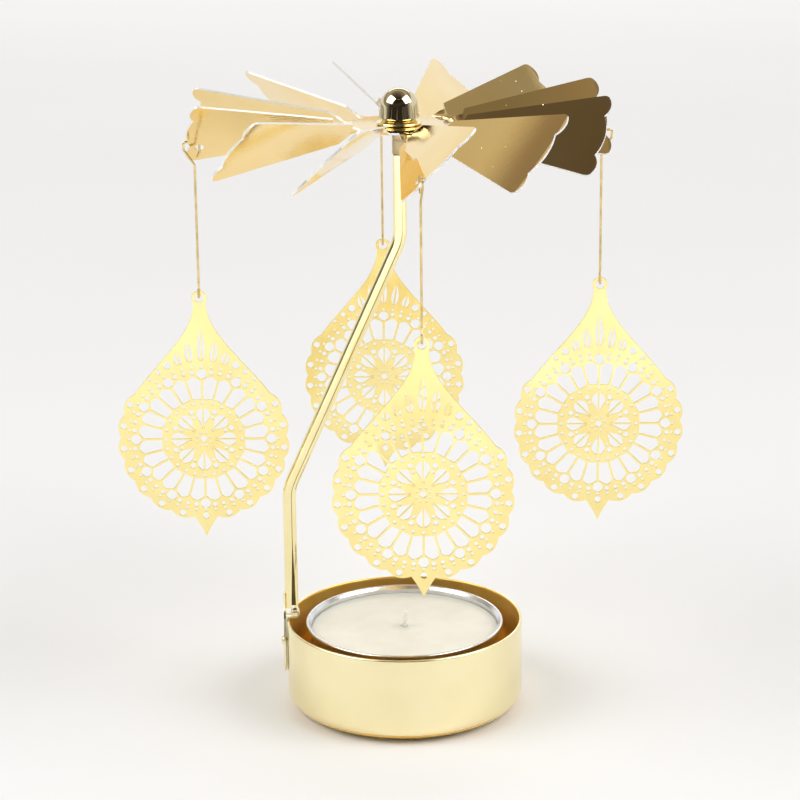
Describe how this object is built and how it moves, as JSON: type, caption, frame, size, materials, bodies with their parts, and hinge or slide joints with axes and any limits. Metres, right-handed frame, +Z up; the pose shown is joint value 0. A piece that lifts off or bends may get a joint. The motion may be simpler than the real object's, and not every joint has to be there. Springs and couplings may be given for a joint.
{
  "type": "rotating candle holder",
  "caption": "Tealight carousel: a bent stem on a round cup carries a twisted-blade fan on a needle, and openwork drops hang from it on wires.",
  "frame": {"origin": "on the cup's axis, at the table the three pips stand on", "axes": "+Z up the fan's axis, -X towards the stem's leg, -Y towards the picture's viewpoint"},
  "size_m": [0.1082, 0.08, 0.122],
  "materials": {
    "gold_plate": "polished pale gold plate",
    "fan_gold": "mirror gold sheet with bright cut edges",
    "openwork_gold": "bright gold etched sheet",
    "wire_gold": "drawn gold wire",
    "grey_steel": "satin grey steel",
    "tin_aluminium": "thin bright aluminium",
    "candle_wax": "off-white translucent wax",
    "wick_cotton": "waxed cotton braid"
  },
  "bodies": {
    "base": {"base_cup": "gold_plate", "stem": "gold_plate", "stem_rivet": "gold_plate", "ferrule": "grey_steel", "pivot_needle": "grey_steel"},
    "tealight": {"tealight_cup": "tin_aluminium", "tealight_wax": "candle_wax", "tealight_wick": "wick_cotton", "wick_sustainer": "grey_steel"},
    "fan": {"fan_wheel": "fan_gold", "hub_ball": "gold_plate", "hub_collar": "gold_plate", "hub_washer": "grey_steel"},
    "hanger_1": {"hanger_wire_1": "wire_gold"},
    "pendant_1": {"pendant_1": "openwork_gold"},
    "hanger_2": {"hanger_wire_2": "wire_gold"},
    "pendant_2": {"pendant_2": "openwork_gold"},
    "hanger_3": {"hanger_wire_3": "wire_gold"},
    "pendant_3": {"pendant_3": "openwork_gold"},
    "hanger_4": {"hanger_wire_4": "wire_gold"},
    "pendant_4": {"pendant_4": "openwork_gold"}
  },
  "joints": [
    {"name": "fan_spin", "type": "hinge", "parent": "base", "child": "fan", "pos_m": [0, 0, 0.115], "axis": [0, 0, 1], "continuous": true},
    {"name": "tealight_lift", "type": "slide", "parent": "base", "child": "tealight", "axis": [0, 0, 1], "range_m": [0, 0.022]},
    {"name": "hanger_1_swing", "type": "hinge", "parent": "fan", "child": "hanger_1", "pos_m": [0.03784, 0.00391, 0.11295], "axis": [0.1865, -0.9825, 0], "range_deg": [-1, 22]},
    {"name": "pendant_1_twist", "type": "hinge", "parent": "hanger_1", "child": "pendant_1", "pos_m": [0.03784, 0.00391, 0.0832], "axis": [0, 0, 1], "range_deg": [-45, 45]},
    {"name": "hanger_2_swing", "type": "hinge", "parent": "fan", "child": "hanger_2", "pos_m": [-0.00391, 0.03784, 0.11295], "axis": [0.9825, 0.1865, 0], "range_deg": [-1, 22]},
    {"name": "pendant_2_twist", "type": "hinge", "parent": "hanger_2", "child": "pendant_2", "pos_m": [-0.00391, 0.03784, 0.0832], "axis": [0, 0, 1], "range_deg": [-45, 45]},
    {"name": "hanger_3_swing", "type": "hinge", "parent": "fan", "child": "hanger_3", "pos_m": [-0.03784, -0.00391, 0.11295], "axis": [-0.1865, 0.9825, 0], "range_deg": [-1, 22]},
    {"name": "pendant_3_twist", "type": "hinge", "parent": "hanger_3", "child": "pendant_3", "pos_m": [-0.03784, -0.00391, 0.0832], "axis": [0, 0, 1], "range_deg": [-45, 45]},
    {"name": "hanger_4_swing", "type": "hinge", "parent": "fan", "child": "hanger_4", "pos_m": [0.00391, -0.03784, 0.11295], "axis": [-0.9825, -0.1865, 0], "range_deg": [-1, 22]},
    {"name": "pendant_4_twist", "type": "hinge", "parent": "hanger_4", "child": "pendant_4", "pos_m": [0.00391, -0.03784, 0.0832], "axis": [0, 0, 1], "range_deg": [-45, 45]}
  ]
}
